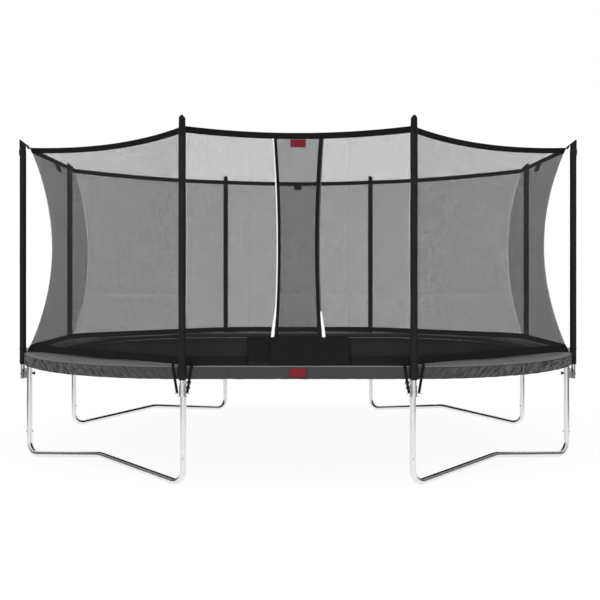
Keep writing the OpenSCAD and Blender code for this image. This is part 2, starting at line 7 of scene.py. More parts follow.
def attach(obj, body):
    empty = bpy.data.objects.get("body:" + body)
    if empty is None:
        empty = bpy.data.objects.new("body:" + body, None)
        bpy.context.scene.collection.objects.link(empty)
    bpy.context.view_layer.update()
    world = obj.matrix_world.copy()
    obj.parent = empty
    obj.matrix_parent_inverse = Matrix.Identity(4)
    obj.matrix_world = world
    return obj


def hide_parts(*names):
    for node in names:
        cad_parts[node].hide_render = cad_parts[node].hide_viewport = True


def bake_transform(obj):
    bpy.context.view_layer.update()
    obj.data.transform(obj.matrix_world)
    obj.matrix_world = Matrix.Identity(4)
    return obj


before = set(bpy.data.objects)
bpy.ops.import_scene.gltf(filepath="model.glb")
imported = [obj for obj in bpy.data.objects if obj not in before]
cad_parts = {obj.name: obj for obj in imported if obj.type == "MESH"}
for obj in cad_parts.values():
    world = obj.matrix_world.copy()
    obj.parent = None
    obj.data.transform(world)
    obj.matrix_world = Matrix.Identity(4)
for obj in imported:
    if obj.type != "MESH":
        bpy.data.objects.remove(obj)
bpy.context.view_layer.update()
print("frame loaded:", len(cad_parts), "nodes")

plan = {"halfStraight": 0.895, "sidePostX": 0.885, "ringHeight": 0.885, "postRadius": 1.729, "endPostAngle": 23.7}
postAngles = [plan["endPostAngle"], 90, 90, 180 - plan["endPostAngle"],
              180 + plan["endPostAngle"], 270, 270, 360 - plan["endPostAngle"]]
postSides = [1, 1, -1, -1, -1, -1, 1, 1]
postNames = ["right_rear_end", "right_rear", "left_rear", "left_rear_end",
             "left_front_end", "left_front", "right_front", "right_front_end"]
up = Vector((0, 0, 1))


def blend(a, b, share):
    return a + (b - a) * share


def arch(share):
    return 4 * share * (1 - share)


def outwardsAt(angle):
    return Vector((math.cos(angle), math.sin(angle), 0))


def smoothStep(low, high, value):
    share = min(1, max(0, (value - low) / (high - low)))
    return share * share * (3 - 2 * share)


def postPoint(i, radius):
    angle = math.radians(postAngles[i])
    start = plan["sidePostX"] if i in (1, 2, 5, 6) else plan["halfStraight"]
    return Vector((postSides[i] * start + radius * math.cos(angle), radius * math.sin(angle), 0))


def postFrame(i, radius):  # X points outwards, Z up, origin on the ground
    return Matrix.Translation(postPoint(i, radius)) @ Matrix.Rotation(math.radians(postAngles[i]), 4, "Z")


# ---- finishes ----
class Wire:  # one socket, which can take part in sums
    def __init__(self, finish, socket):
        self.finish, self.socket = finish, socket

    def maths(self, operation, first, second=0.0):
        return self.finish.node("ShaderNodeMath", {"operation": operation}, {0: first, 1: second})

    def __add__(self, other): return self.maths("ADD", self, other)
    __radd__ = __add__

    def __sub__(self, other): return self.maths("SUBTRACT", self, other)
    def __rsub__(self, other): return self.maths("SUBTRACT", other, self)
    def __mul__(self, other): return self.maths("MULTIPLY", self, other)
    __rmul__ = __mul__

    def __lt__(self, other): return self.maths("LESS_THAN", self, other)
    def __gt__(self, other): return self.maths("GREATER_THAN", self, other)
    def __or__(self, other): return self.maths("MAXIMUM", self, other)
    def __and__(self, other): return self.maths("MINIMUM", self, other)
    def __abs__(self): return self.maths("ABSOLUTE", self)
    def sine(self): return self.maths("SINE", self)


class Board:  # a node tree that nodes are put on
    def __init__(self, tree):
        self.tree = tree

    def node(self, kind, settings=None, inputs=None, output=0):
        made = self.tree.nodes.new(kind)
        for key, value in (settings or {}).items():
            setattr(made, key, value)
        for key, value in (inputs or {}).items():
            if isinstance(value, Wire):
                self.tree.links.new(value.socket, made.inputs[key])
            else:
                made.inputs[key].default_value = value
        if output is None:
            return [Wire(self, s) for s in made.outputs]
        return Wire(self, made.outputs[output])


class Finish(Board):
    def __init__(self, name, values):
        self.material = bpy.data.materials.new(name)
        self.material.use_nodes = True
        super().__init__(self.material.node_tree)
        self.shader = self.tree.nodes["Principled BSDF"]
        for key, value in values.items():
            self.shader.inputs[key].default_value = value

    def feed(self, **wires):  # baseColor=..., roughness=..., normal=...
        names = {"baseColor": "Base Color", "roughness": "Roughness", "normal": "Normal", "alpha": "Alpha"}
        for key, wire in wires.items():
            self.tree.links.new(wire.socket, self.shader.inputs[names[key]])
        return self

    def place(self):
        return self.node("ShaderNodeTexCoord", output="Object")

    def cloth(self):  # the piece's own UV map, in metres
        return self.node("ShaderNodeTexCoord", output="UV")

    def split(self, vector):
        return self.node("ShaderNodeSeparateXYZ", inputs={0: vector}, output=None)

    def clouds(self, vector, scale, detail=3.0, roughness=0.5):
        return self.node("ShaderNodeTexNoise", inputs={"Vector": vector, "Scale": scale, "Detail": detail,
                                                       "Roughness": roughness})

    def mix(self, factor, first, second):
        return self.node("ShaderNodeMix", {"data_type": "RGBA"}, {0: factor, 6: first, 7: second}, 2)

    def bump(self, height, strength, distance):
        return self.node("ShaderNodeBump", inputs={"Strength": strength, "Distance": distance, "Height": height})

    def join(self, x, y):
        return self.node("ShaderNodeCombineXYZ", inputs={0: x, 1: y})

    def ribs(self, across, pitch):
        return abs((across * (math.pi / pitch)).sine())

    def weave(self, x, y, pitch):  # plain weave: warp and weft threads take turns on top
        parity = self.node("ShaderNodeTexChecker", inputs={"Vector": self.join(x, y), "Scale": 1 / pitch}, output=1)
        return self.ribs(x, pitch) * parity + self.ribs(y, pitch) * (1 - parity)


def grey(value, blue=0.0):
    return (value, value, value + blue, 1)


def galvanised(name, tone, roughness):
    f = Finish(name, {"Metallic": 1.0})
    place = f.place()
    spangle = f.node("ShaderNodeTexVoronoi", inputs={"Vector": place, "Scale": 95.0}, output="Color")
    facet = f.split(spangle)[0]
    haze = f.clouds(place, 9.0, 4.0)
    tint = f.mix(facet * 0.55 + haze * 0.45, grey(tone * 0.84, 0.004), grey(min(1, tone * 1.1), 0.008))
    rough = facet * 0.1 + haze * 0.16 + (roughness - 0.13)
    height = f.clouds(place, 420.0, 2.0) * 0.6 + facet * 0.4
    return f.feed(baseColor=tint, roughness=rough, normal=f.bump(height, 0.22, 0.0006))


def zinc(name, tone):
    f = Finish(name, {"Metallic": 1.0})
    place = f.place()
    haze = f.clouds(place, 60.0, 3.0)
    return f.feed(baseColor=f.mix(haze, grey(tone * 0.85, 0.01), grey(tone * 1.1, 0.02)), roughness=haze * 0.2 + 0.22,
                  normal=f.bump(f.clouds(place, 900.0, 1.0), 0.15, 0.0003))


def mouldedPlastic():
    f = Finish("moulded_plastic", {"Specular IOR Level": 0.18})
    place = f.place()
    grain = f.clouds(place, 1400.0, 2.0)
    wear = f.clouds(place, 38.0, 4.0)
    return f.feed(baseColor=f.mix(wear, grey(0.007), grey(0.014)), roughness=wear * 0.14 + 0.4,
                  normal=f.bump(grain, 0.25, 0.0003))


def sleeveCover():  # coated cloth drawn over the foam tubes
    f = Finish("sleeve_cover", {"Specular IOR Level": 0.12})
    x, y, _ = f.split(f.cloth())
    place = f.place()
    creases = f.clouds(f.node("ShaderNodeMapping", inputs={0: place, 3: (1, 1, 0.25)}), 70.0, 4.0)
    weave = f.weave(x, y, 0.0016)
    tone = f.mix(f.clouds(place, 14.0), grey(0.009), grey(0.016))
    return f.feed(baseColor=tone, roughness=creases * 0.18 + 0.42,
                  normal=f.bump(creases * 0.75 + weave * 0.25, 0.35, 0.0012))


def matCloth():
    f = Finish("mat_cloth", {"Specular IOR Level": 0.02})
    place = f.place()
    x, y, _ = f.split(place)
    weave = f.weave(x, y, 0.0035)
    dust = f.clouds(place, 2.3, 5.0)
    tone = f.mix(weave * 0.5 + dust * 0.4, grey(0.003), grey(0.009))
    return f.feed(baseColor=tone, roughness=0.72 - weave * 0.14, normal=f.bump(weave, 0.6, 0.0008))


def webbing(name, low, high, stitchTone):
    f = Finish(name, {"Specular IOR Level": 0.05, "Roughness": 0.72})
    x, y, _ = f.split(f.cloth())
    ribs = f.ribs(x, 0.0022) * 0.6 + f.ribs(y, 0.0011) * 0.4
    row = abs(y.maths("PINGPONG", y, 0.008) - 0.004) < 0.0006
    dash = (x * (math.tau / 0.007)).sine() > -0.2
    stitch = row * dash
    tone = f.mix(stitch * 0.7, f.mix(ribs, grey(low), grey(high)), grey(stitchTone))
    return f.feed(baseColor=tone, normal=f.bump(ribs + stitch, 0.5, 0.0007))


def padCloth():
    f = Finish("pad_cloth", {"Specular IOR Level": 0.34})
    place = f.place()
    x, y, _ = f.split(f.cloth())
    across, _, height = f.split(place)
    weave = f.weave(x, y, 0.0013)
    blotch = f.clouds(place, 5.0, 5.0, 0.6)
    crumple = f.clouds(place, 34.0, 5.0, 0.62)
    skirt = f.mix(blotch * 0.6 + weave * 0.25, grey(0.027, 0.001), grey(0.048, 0.001))
    lean = (across * 3 | -1) & 1  # creases fall outwards on both halves
    creases = f.clouds(f.join((x - height * lean) * 36.0, (x + height * lean) * 8.0), 1.0, 3.0, 0.6)
    # painted shade and painted highlight: towards both ends the skirt is coloured dark in the creases and light on the
    # ridges, and lighter overall, as if lit from the sides
    creaseShadeAndLight = f.mix(((creases - 0.5) * 5 + 0.5 | 0) & 1, grey(0.017, 0.001), grey(0.13, 0.001))
    skirt = f.mix(((abs(across) - 0.8) * 0.62 | 0) & 0.85, skirt, creaseShadeAndLight)
    # painted light: the top of the pad is coloured about three times lighter than the skirt, as if lit from above
    top = f.mix(blotch * 0.6 + weave * 0.25, grey(0.1, 0.001), grey(0.15, 0.001))
    slope = ((0.27 - y) * 14 | 0) & 1  # the inner edge lies in the shade of the crown
    tone = f.mix(slope, f.mix(height > 0.9215, skirt, top), grey(0.014))
    seam = abs(height - 0.9205) < 0.0022
    stitch = (abs(height - 0.8372) < 0.0009) * ((x * (math.tau / 0.011)).sine() > -0.1)
    tone = f.mix((seam | stitch) * 0.85, tone, grey(0.01))
    return f.feed(baseColor=tone, roughness=crumple * 0.2 + 0.3,
                  normal=f.bump(crumple * 0.8 + weave * 0.2, 0.5, 0.004))


def netMesh(name, cell, thread):
    f = Finish(name, {"Roughness": 0.8, "Specular IOR Level": 0.04, "Sheen Weight": 0.25, "Sheen Roughness": 0.4})
    x, y, _ = f.split(f.cloth())
    place = f.place()
    x = x + (f.clouds(place, 75.0, 1.0) - 0.5) * 0.012
    y = y + (f.clouds(place, 63.0, 1.0) - 0.5) * 0.012
    width = f.clouds(f.join(x * 95.0, y * 9.0), 1.0, 2.0) * 0.16 + (thread - 0.08)
    solid = (f.ribs(x + y * 0.72, cell) < width) | (f.ribs(x - y * 0.72, cell) < width)
    tone = f.mix(f.clouds(place, 3.0), grey(0.015), grey(0.027))
    f.material.use_transparent_shadow = True
    return f.feed(baseColor=tone, alpha=solid)


def labelCloth(name, shade):
    f = Finish(name, {"Specular IOR Level": 0.06, "Roughness": 0.6})
    x, y, _ = f.split(f.cloth())
    edge = (abs(x - 0.5) > 0.462) | (abs(y - 0.5) > 0.43)
    stitch = ((abs(abs(x - 0.5) - 0.455) < 0.006) | (abs(abs(y - 0.5) - 0.415) < 0.012)) * \
        (((x * 60.0).sine() * (y * 60.0).sine()) > -0.4)
    threads = abs((y * 180.0).sine())
    def red(level): return (level * shade, level * 0.08 * shade + 0.004, level * 0.11 * shade + 0.005, 1)
    tone = f.mix(edge, f.mix(threads * 0.5, red(0.155), red(0.205)), red(0.12))
    tone = f.mix(stitch * 0.8, tone, red(0.3))
    return f.feed(baseColor=tone, normal=f.bump(threads + stitch * 2.0, 0.3, 0.0005))


def paleTape(name, low, high):
    f = Finish(name, {"Specular IOR Level": 0.3, "Roughness": 0.6})
    x, y, _ = f.split(f.cloth())
    ribs = f.ribs(y, 0.0016)
    soil = f.clouds(f.place(), 26.0, 4.0)
    return f.feed(baseColor=f.mix(ribs * 0.4 + soil * 0.6, grey(low), grey(high)), normal=f.bump(ribs, 0.4, 0.0005))


def flapCloth():
    f = Finish("flap_cloth", {"Specular IOR Level": 0.07})
    x, y, _ = f.split(f.cloth())
    place = f.place()
    weave = f.weave(x, y, 0.0014)
    crumple = f.clouds(place, 28.0, 5.0, 0.6)
    tone = f.mix(crumple * 0.7 + weave * 0.3, grey(0.005), grey(0.012))
    return f.feed(baseColor=tone, roughness=crumple * 0.2 + 0.46,
                  normal=f.bump(crumple + weave * 0.2, 0.4, 0.003))


tubeSteel = galvanised("tube_steel", 0.86, 0.24)
plateSteel = galvanised("plate_steel", 0.3, 0.4)
fastenerZinc = zinc("fastener_zinc", 0.62)
springWire = zinc("spring_wire", 0.66)
plastic = mouldedPlastic()
foamCover = sleeveCover()
matWeave = matCloth()
blackWebbing = webbing("black_webbing", 0.005, 0.012, 0.026)
seamWebbing = webbing("seam_webbing", 0.006, 0.014, 0.034)
greyCloth = padCloth()
mesh = netMesh("net_mesh", 0.0034, 0.368)
label = labelCloth("label_cloth", 1.0)
labelBack = labelCloth("label_back", 0.2)
tape = paleTape("pale_tape", 0.8, 0.93)
dimTape = paleTape("grey_tape", 0.26, 0.34)
jointTape = paleTape("joint_tape", 0.11, 0.16)
baseCloth = flapCloth()
print("finishes made")


# ---- pieces ----
def addObject(name, data):
    made = bpy.data.objects.new(name, data)
    bpy.context.scene.collection.objects.link(made)
    return made


def meshOf(name, bm):
    data = bpy.data.meshes.new(name)
    bm.to_mesh(data)
    bm.free()
    return data


def pour(bm, data):  # moves a mesh into bm
    bm.from_mesh(data)
    bpy.data.meshes.remove(data)


def weld(bm, dist=1e-6):
    bmesh.ops.remove_doubles(bm, verts=bm.verts, dist=dist)


def outwardFaces(bm):
    bmesh.ops.recalc_face_normals(bm, faces=bm.faces)


def move(bm, matrix):
    bmesh.ops.transform(bm, matrix=matrix, verts=bm.verts)


def addPiece(name, bm, finish, body="frame", replaces=(), sharpAngle=38):
    data = meshOf(name, bm)
    data.materials.append(finish.material)
    data.shade_smooth()
    data.set_sharp_from_angle(angle=math.radians(sharpAngle))
    piece = addObject(name, data)
    if body:
        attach(piece, body)
    if replaces:
        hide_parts(*replaces)
    return piece


def thicken(piece, thickness, offset=0.0):
    solid = piece.modifiers.new("wall", "SOLIDIFY")
    solid.thickness, solid.offset, solid.use_even_offset = thickness, offset, False


def gridSheet(bm, cols, rows, place, size, chart=None):  # chart gives the UVs in metres, else size does
    uvLayer = bm.loops.layers.uv.verify()
    made = bmesh.ops.create_grid(bm, x_segments=cols, y_segments=rows, size=0.5)["verts"]
    shares = {v: (v.co.x + 0.5, v.co.y + 0.5) for v in made}
    for face in {f for v in made for f in v.link_faces}:
        for loop in face.loops:
            u, t = shares[loop.vert]
            loop[uvLayer].uv = chart(u, t) if chart else (u * size[0], t * size[1])
    for vert, (u, t) in shares.items():
        vert.co = place(u, t)


def lathe(bm, profile, steps):  # closed profile of (radius, height)
    verts = [bm.verts.new((r, 0, z)) for r, z in profile]
    edges = [bm.edges.new(pair) for pair in zip(verts, verts[1:] + verts[:1])]
    before = set(bm.verts)
    bmesh.ops.spin(bm, geom=verts + edges, cent=(0, 0, 0), axis=(0, 0, 1), angle=math.tau, steps=steps,
                   use_merge=True)
    made = [v for v in [v for v in bm.verts if v not in before] + verts if v.is_valid]
    bmesh.ops.remove_doubles(bm, verts=made, dist=1e-6)
    faces = list({f for v in made if v.is_valid for f in v.link_faces})
    bmesh.ops.recalc_face_normals(bm, faces=faces)


def smoothPath(points, count):  # Catmull-Rom through the points, evenly in their own number
    points = [Vector(p) for p in points]
    line = []
    for k in range(count + 1):
        place = k / count * (len(points) - 1)
        at = min(int(place), len(points) - 2)
        t = place - at
        a, b, c, d = (points[max(0, min(len(points) - 1, at + j))] for j in (-1, 0, 1, 2))
        line.append(0.5 * ((2 * b) + (c - a) * t + (2 * a - 5 * b + 4 * c - d) * t * t
                           + (3 * b - a - 3 * c + d) * t * t * t))
    return line


def wireAlong(bm, points, radius, sides, matrix=None, closed=False):  # round wire, from a curve's bevel
    curve = bpy.data.curves.new("wire", "CURVE")
    curve.dimensions, curve.bevel_depth, curve.use_fill_caps = "3D", radius, not closed
    curve.bevel_resolution = max(0, sides // 2 - 2)
    spline = curve.splines.new("POLY")
    spline.points.add(len(points) - 1)
    for point, place in zip(spline.points, points):
        point.co = (*place, 1)
    spline.use_cyclic_u = closed
    holder = bpy.data.objects.new("wire", curve)
    data = bpy.data.meshes.new_from_object(holder)
    if matrix:
        data.transform(matrix)
    pour(bm, data)
    bpy.data.objects.remove(holder)
    bpy.data.curves.remove(curve)


def ribbon(bm, path, width, along):  # flat strap: along(k) is the width direction at point k
    last = len(path) - 1
    length = sum((path[k + 1] - path[k]).length for k in range(last))

    def place(u, t):
        k = round(u * last)
        return path[k] + along(k) * (width * (t - 0.5))
    gridSheet(bm, last, 2, place, (length, width))


# ---- frame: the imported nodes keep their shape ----
def paint(names, finish):
    for name in names:
        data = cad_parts[name].data
        data.materials.clear()
        data.materials.append(finish.material)


tubes = [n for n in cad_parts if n.startswith(("rail_", "upright_", "leg_base", "leg_sockets"))]
tubes += ["post_" + n for n in postNames]
paint(tubes, tubeSteel)
paint(["post_brackets"], plateSteel)
paint(["leg_screws", "bracket_bolts", "corner_rings"], fastenerZinc)
paint(["bracket_knobs"], plastic)
print("frame painted")


# ---- post sleeves and caps ----
sleeve = {"radius": 0.028, "bore": 0.0194, "bottom": 0.826, "top": 2.765, "levels": 90, "steps": 40,
          "seamHeight": 0.0011, "seamWidth": 0.075, "seamTurn": 205, "roundedEnd": 0.002, "fill": 0.9}
cap = {"radius": 0.0255, "bottom": 2.765, "height": 0.076, "drop": 0.038, "bevel": 0.0035, "rings": 3, "steps": 48}


def makeSleeve(i):
    bm = bmesh.new()
    height = sleeve["top"] - sleeve["bottom"]

    def place(u, t):
        ring = t * (sleeve["levels"] + 4)
        z = sleeve["bottom"] + height * min(1, max(0, (ring - 2) / sleeve["levels"]))
        radius = sleeve["radius"]
        if ring < 2 or ring > sleeve["levels"] + 2:
            inwards = (2 - ring if ring < 2 else ring - sleeve["levels"] - 2) / 2
            radius = blend(radius - sleeve["roundedEnd"], sleeve["bore"], inwards) if inwards > 0 else radius
        else:
            nearEnd = min(z - sleeve["bottom"], sleeve["top"] - z)
            radius -= sleeve["roundedEnd"] * (1 - smoothStep(0, 0.006, nearEnd))
            angle = (u - 0.5) * math.tau
            seam = math.exp(-(angle / sleeve["seamWidth"]) ** 2)
            lumps = noise.noise(Vector((math.cos(angle) * 0.8, math.sin(angle) * 0.8 + i * 7, z * 6)))
            radius += seam * sleeve["seamHeight"] + lumps * 0.0007
        turn = u * math.tau
        return Vector((radius * math.cos(turn), radius * math.sin(turn), z))
    gridSheet(bm, sleeve["steps"], sleeve["levels"] + 4, place, (math.tau * sleeve["radius"], height))
    weld(bm)
    bmesh.ops.bridge_loops(bm, edges=[e for e in bm.edges if e.is_boundary])
    outwardFaces(bm)
    turned = Matrix.Rotation(math.radians(sleeve["seamTurn"]), 4, "Z")
    move(bm, postFrame(i, plan["postRadius"]) @ turned)
    piece = addPiece("sleeve_" + postNames[i], bm, foamCover, replaces=["post_sleeves"])


def makeCap(i):
    bm = bmesh.new()
    tall = cap["height"]
    bmesh.ops.create_cone(bm, cap_ends=True, segments=cap["steps"], radius1=cap["radius"], radius2=cap["radius"],
                          depth=tall, matrix=Matrix.Translation((0, 0, cap["bottom"] + tall / 2)))
    slope = cap["drop"] / (2 * cap["radius"])
    bmesh.ops.bisect_plane(bm, geom=bm.verts[:] + bm.edges[:] + bm.faces[:],
                           plane_co=(cap["radius"], 0, cap["bottom"] + tall), plane_no=(-slope, 0, 1),
                           clear_outer=True)
    bmesh.ops.edgeloop_fill(bm, edges=[e for e in bm.edges if e.is_boundary])
    top = max((f for f in bm.faces if len(f.verts) > 8), key=lambda f: f.calc_center_median().z)
    bmesh.ops.inset_individual(bm, faces=[top], thickness=0.006, depth=-0.0015)
    ring = [e for e in bm.edges if e.calc_length() < 0.02 and e.calc_face_angle(0) > 0.5]
    bmesh.ops.bevel(bm, geom=ring, offset=cap["bevel"] * 0.5, segments=3, profile=0.5, affect="EDGES", material=-1)
    outwardFaces(bm)
    for k in range(cap["rings"]):  # gripping rings at the foot
        z, root, tip = cap["bottom"] + 0.006 + 0.006 * k, cap["radius"] - 0.002, cap["radius"] + 0.0006
        lathe(bm, [(root, z - 0.0016), (tip, z - 0.0009), (tip, z + 0.0009), (root, z + 0.0016)], cap["steps"])
    move(bm, postFrame(i, plan["postRadius"]))
    addPiece("cap_" + postNames[i], bm, plastic, replaces=["post_caps"])


for i in range(8):
    makeSleeve(i)
    makeCap(i)
print("sleeves and caps made")

# ---- safety net ----
net = {"bottomRadius": 1.691, "topRadius": 1.669, "waist": 0.2, "bow": 0.11, "endBow": 0.015, "sag": 0.034,
       "bottom": 0.9415, "top": 2.778, "band": 0.047, "hem": 0.058, "edge": 0.0025, "thickness": 0.0003,
       "edgeThickness": 0.0042, "step": 0.045}
netSpan = net["top"] - net["bottom"]


def bayBow(bay):
    if bay % 4 == 3:
        return net["endBow"]
    chord = (postPoint((bay + 1) % 8, net["topRadius"]) - postPoint(bay, net["topRadius"])).length
    return net["bow"] * chord / (2 * plan["sidePostX"])


def bayEnds(bay, t):
    radius = blend(net["bottomRadius"], net["topRadius"], t) - net["waist"] * arch(t)
    return postPoint(bay, radius), postPoint((bay + 1) % 8, radius)


def bayLength(bay, t=0.5):
    a, b = bayEnds(bay, t)
    return (b - a).length


def netPoint(bay, u, t, off=0.0):
    a, b = bayEnds(bay, t)
    side = (b - a).normalized()
    tuck = max(0, 1 - t * netSpan / 0.01) ** 2 if bay % 4 == 1 else 0  # long sides lie out over the pad's edge
    off += 0.016 * tuck
    point = a.lerp(b, u) + Vector((-side.y, side.x, 0)) * (bayBow(bay) * arch(u) * t * (0.4 + 0.6 * t) - off)
    low = net["bottom"] - 0.006 * (1 - arch(u)) ** 6
    point.z = blend(low, net["top"] - bayBow(bay) * net["sag"] / net["bow"] * arch(u), t) - 0.006 * tuck
    return point


def netChart(bay, u, t):  # the mesh keeps its scale over all panels and flaps
    return ((u - 0.5) * bayLength(bay, t), netPoint(bay, u, t).z)


def netSheet(name, bay, uStart, uEnd, ripple):
    bm = bmesh.new()
    tStart, tEnd = hemShare - under, bandShare + under
    width = bayLength(bay, (tStart + tEnd) / 2) * (uEnd - uStart)
    tall = netSpan * (tEnd - tStart)

    def spot(u, t):
        return blend(uStart, uEnd, u), blend(tStart, tEnd, t)

    def place(u, t):
        along, height = spot(u, t)
        return netPoint(bay, along, height, noise.noise(Vector((along * 5 + bay * 9, height * 2.2, 0))) * ripple)
    gridSheet(bm, max(2, round(width / net["step"])), max(2, round(tall / net["step"])), place, None,
              lambda u, t: netChart(bay, *spot(u, t)))
    piece = addPiece("net_panel_" + name, bm, mesh, replaces=["net_" + name])
    thicken(piece, net["thickness"])


def frontShare(x):
    return (x + plan["sidePostX"]) / (2 * plan["sidePostX"])


bayNames = ["right_rear", "rear", "left_rear", "left_end", "left_front", "", "right_front", "right_end"]
doorBay = 5
hemShare, bandShare = net["hem"] / netSpan, 1 - net["band"] / netSpan
under = 0.008 / netSpan  # the mesh runs this far under its sewn edges
for bay in range(8):
    edge = net["edge"] / bayLength(bay)
    if bay != doorBay:
        netSheet(bayNames[bay], bay, edge, 1 - edge, 0.006)
doorway = {"half": 0.395, "overlap": 0.15, "flare": 0.032, "baseHeight": 0.205, "baseExtra": 0.036, "offset": 0.006,
           "swingStart": 0.385, "swingEnd": 0.1, "halfBinding": {"outer": 0.0115, "inner": 0.0145}}
doorLeft, doorRight = frontShare(-doorway["half"]), frontShare(doorway["half"])
edge = net["edge"] / bayLength(doorBay)
netSheet("front_left", doorBay, edge, doorLeft, 0.005)
netSheet("front_right", doorBay, doorRight, 1 - edge, 0.005)
print("net panels made")


def netStrip(name, parts, replaced):  # sewn edges as one piece
    bm = bmesh.new()
    total = 0.0
    for bay, u0, u1, t0, t1 in parts:
        width, tall = bayLength(bay, (t0 + t1) / 2) * (u1 - u0), netSpan * (t1 - t0)
        total += width

        def place(u, t):
            return netPoint(bay, blend(u0, u1, u), blend(t0, t1, t))
        gridSheet(bm, max(4, round(width / 0.03)), max(4, round(tall / 0.005)), place, (width, tall))
    weld(bm, 1e-4)
    piece = addPiece(name, bm, blackWebbing, replaces=[replaced])
    thicken(piece, net["edgeThickness"])
    netSpan * (parts[0][4] - parts[0][3])


netStrip("net_band_top", [(bay, 0, 1, bandShare, 1) for bay in range(8)], "net_top_band")
netStrip("net_hem_bottom", [(bay, 0, 1, 0, hemShare) for bay in range(8) if bay != doorBay]
         + [(doorBay, 0, doorLeft, 0, hemShare), (doorBay, doorLeft, doorRight, 0, 0.008 / netSpan),
            (doorBay, doorRight, 1, 0, hemShare)], "net_bottom_hem")
print("net edges made")


# ---- entrance flaps ----
def freeEdge(t):
    return doorway["overlap"] + doorway["flare"] * (2 * t - 1) ** 2


def flapPiece(name, side, edges, tStart, tEnd, finish, thickness, step=0.01, extraOff=0.0, replaces=(), wrinkle=0.0):
    xFrom, xTo = edges
    bm = bmesh.new()
    middle = (tStart + tEnd) / 2
    width = abs(xTo(middle) - xFrom(middle))
    tall = netSpan * (tEnd - tStart)

    def spot(u, t):
        height = blend(tStart, tEnd, t)
        return blend(xFrom(height), xTo(height), u), height

    def place(u, t):
        x, height = spot(u, t)
        lift = side * wrinkle * abs(noise.noise(Vector((x * 9 + side * 3, height * 30 + x * 3, side))) * 1.5
                                    + noise.noise(Vector((x * 24, height * 60, side + 4))) * 0.5)
        return netPoint(doorBay, frontShare(x), height, side * doorway["offset"] + extraOff + lift)

    def chart(u, t):
        x, height = spot(u, t)
        return x, netPoint(doorBay, frontShare(x), height).z
    gridSheet(bm, max(2, round(width / step)), max(3, round(tall / step)), place, (width, tall),
              chart if finish is mesh else None)
    piece = addPiece(name, bm, finish, None, replaces)
    thicken(piece, thickness)
    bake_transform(piece)


def tapeShift(t):
    share = smoothStep(0.11, 0.26, t)
    return 0.005 * (1 - share), blend(0.03, 0.0105, share)


def tapeEdge(side, half, k):
    return lambda t: -side * (freeEdge(t) + half + tapeShift(t)[k])


def alongEdge(side, shift=0.0):
    return lambda t: -side * freeEdge(t) + shift


def fixedLine(side, gap):
    return lambda t: side * (doorway["half"] + gap)


def inOrder(side, first, second):  # from left to right
    return (first, second) if side > 0 else (second, first)


baseTop = doorway["baseHeight"] / netSpan
flapTop = bandShare + 0.001 / netSpan
for side, word in ((1, "outer"), (-1, "inner")):
    half = doorway["halfBinding"][word]
    flapPiece("flap_mesh_" + word, side, inOrder(side, alongEdge(side), fixedLine(side, 0.0005)), baseTop - under,
              flapTop, mesh, net["thickness"], step=0.04, replaces=["flap_" + word])
    flapPiece("flap_binding_" + word, side, (alongEdge(side, -half), alongEdge(side, half)), baseTop, flapTop,
              blackWebbing, 0.004)
    flapPiece("flap_tape_" + word, side, inOrder(side, tapeEdge(side, half, 1), tapeEdge(side, half, 0)), baseTop,
              flapTop, tape if side > 0 else dimTape, 0.003)

    def baseEdge(t, side=side):
        return -side * (freeEdge(t) + doorway["baseExtra"] + 0.006 * (1 - t / baseTop))
    flapPiece("flap_base_" + word, side, inOrder(side, baseEdge, fixedLine(side, 0.003)),
              (0.001 if side > 0 else 0.0095) / netSpan, baseTop, baseCloth, 0.0024, wrinkle=0.01)
guideHalf = doorway["halfBinding"]["inner"]
flapPiece("flap_guide_tape", 1, (tapeEdge(-1, guideHalf, 0), tapeEdge(-1, guideHalf, 1)), baseTop, 0.22, tape, 0.002,
          extraOff=0.003)
print("entrance flaps made")

# ---- mat ----
mat = {"radius": 1.3718, "webbing": 0.032, "webbingThickness": 0.0066, "thickness": 0.004, "sag": 0.004}


def makeMat():
    bm = bmesh.new()

    def place(u, t):
        y = math.sin((t - 0.5) * math.pi)
        x = (2 * u - 1) * (plan["halfStraight"] + mat["radius"] * math.sqrt(max(0, 1 - y * y)))
        y *= mat["radius"]
        reach = max(abs(y), max(0, abs(x) - plan["halfStraight"])) / mat["radius"]
        return Vector((x, y, plan["ringHeight"] - mat["sag"] * (1 - reach * reach)))
    gridSheet(bm, 96, 60, place, (4.5, 2.74))
    piece = addPiece("mat_sheet", bm, matWeave, "mat_bed", ["mat"])
    thicken(piece, mat["thickness"])


def ovalPoint(share, radius):  # round the oval from the right end, counter-clockwise
    half, turn = plan["halfStraight"], math.pi * radius
    around = share * (2 * turn + 4 * half)
    for centre, start in ((half, -90), (-half, 90)):
        if around <= turn:
            angle = math.radians(start) + around / radius
            return Vector((centre + radius * math.cos(angle), radius * math.sin(angle), 0))
        around -= turn
        if around <= 2 * half:
            return Vector((centre - math.copysign(around, centre), math.copysign(radius, centre), 0))
        around -= 2 * half
    return ovalPoint(0, radius)


def makeWebbing():
    bm = bmesh.new()
    inner, outer = mat["radius"] - 0.012, mat["radius"] + mat["webbing"]
    length = math.tau * outer + 4 * plan["halfStraight"]

    def place(u, t):
        point = ovalPoint(u % 1.0, blend(outer, inner, t))
        point.z = plan["ringHeight"] + 0.0022 * arch(t) ** 0.3
        return point
    gridSheet(bm, 420, 6, place, (length, outer - inner))
    weld(bm, 1e-5)
    outwardFaces(bm)
    piece = addPiece("mat_edge_webbing", bm, seamWebbing, "mat_bed", ["mat_webbing"])
    thicken(piece, mat["webbingThickness"])


makeMat()
makeWebbing()
print("mat made")

# ---- springs ----
springs = {"side": 13, "end": 37, "inner": 1.4284, "reach": 0.219, "body": 0.15, "radius": 0.0107, "wire": 0.0017,
           "turns": 20, "steps": 9, "stillFrom": 1.645, "movesFrom": 1.434, "ringWire": 0.0019}


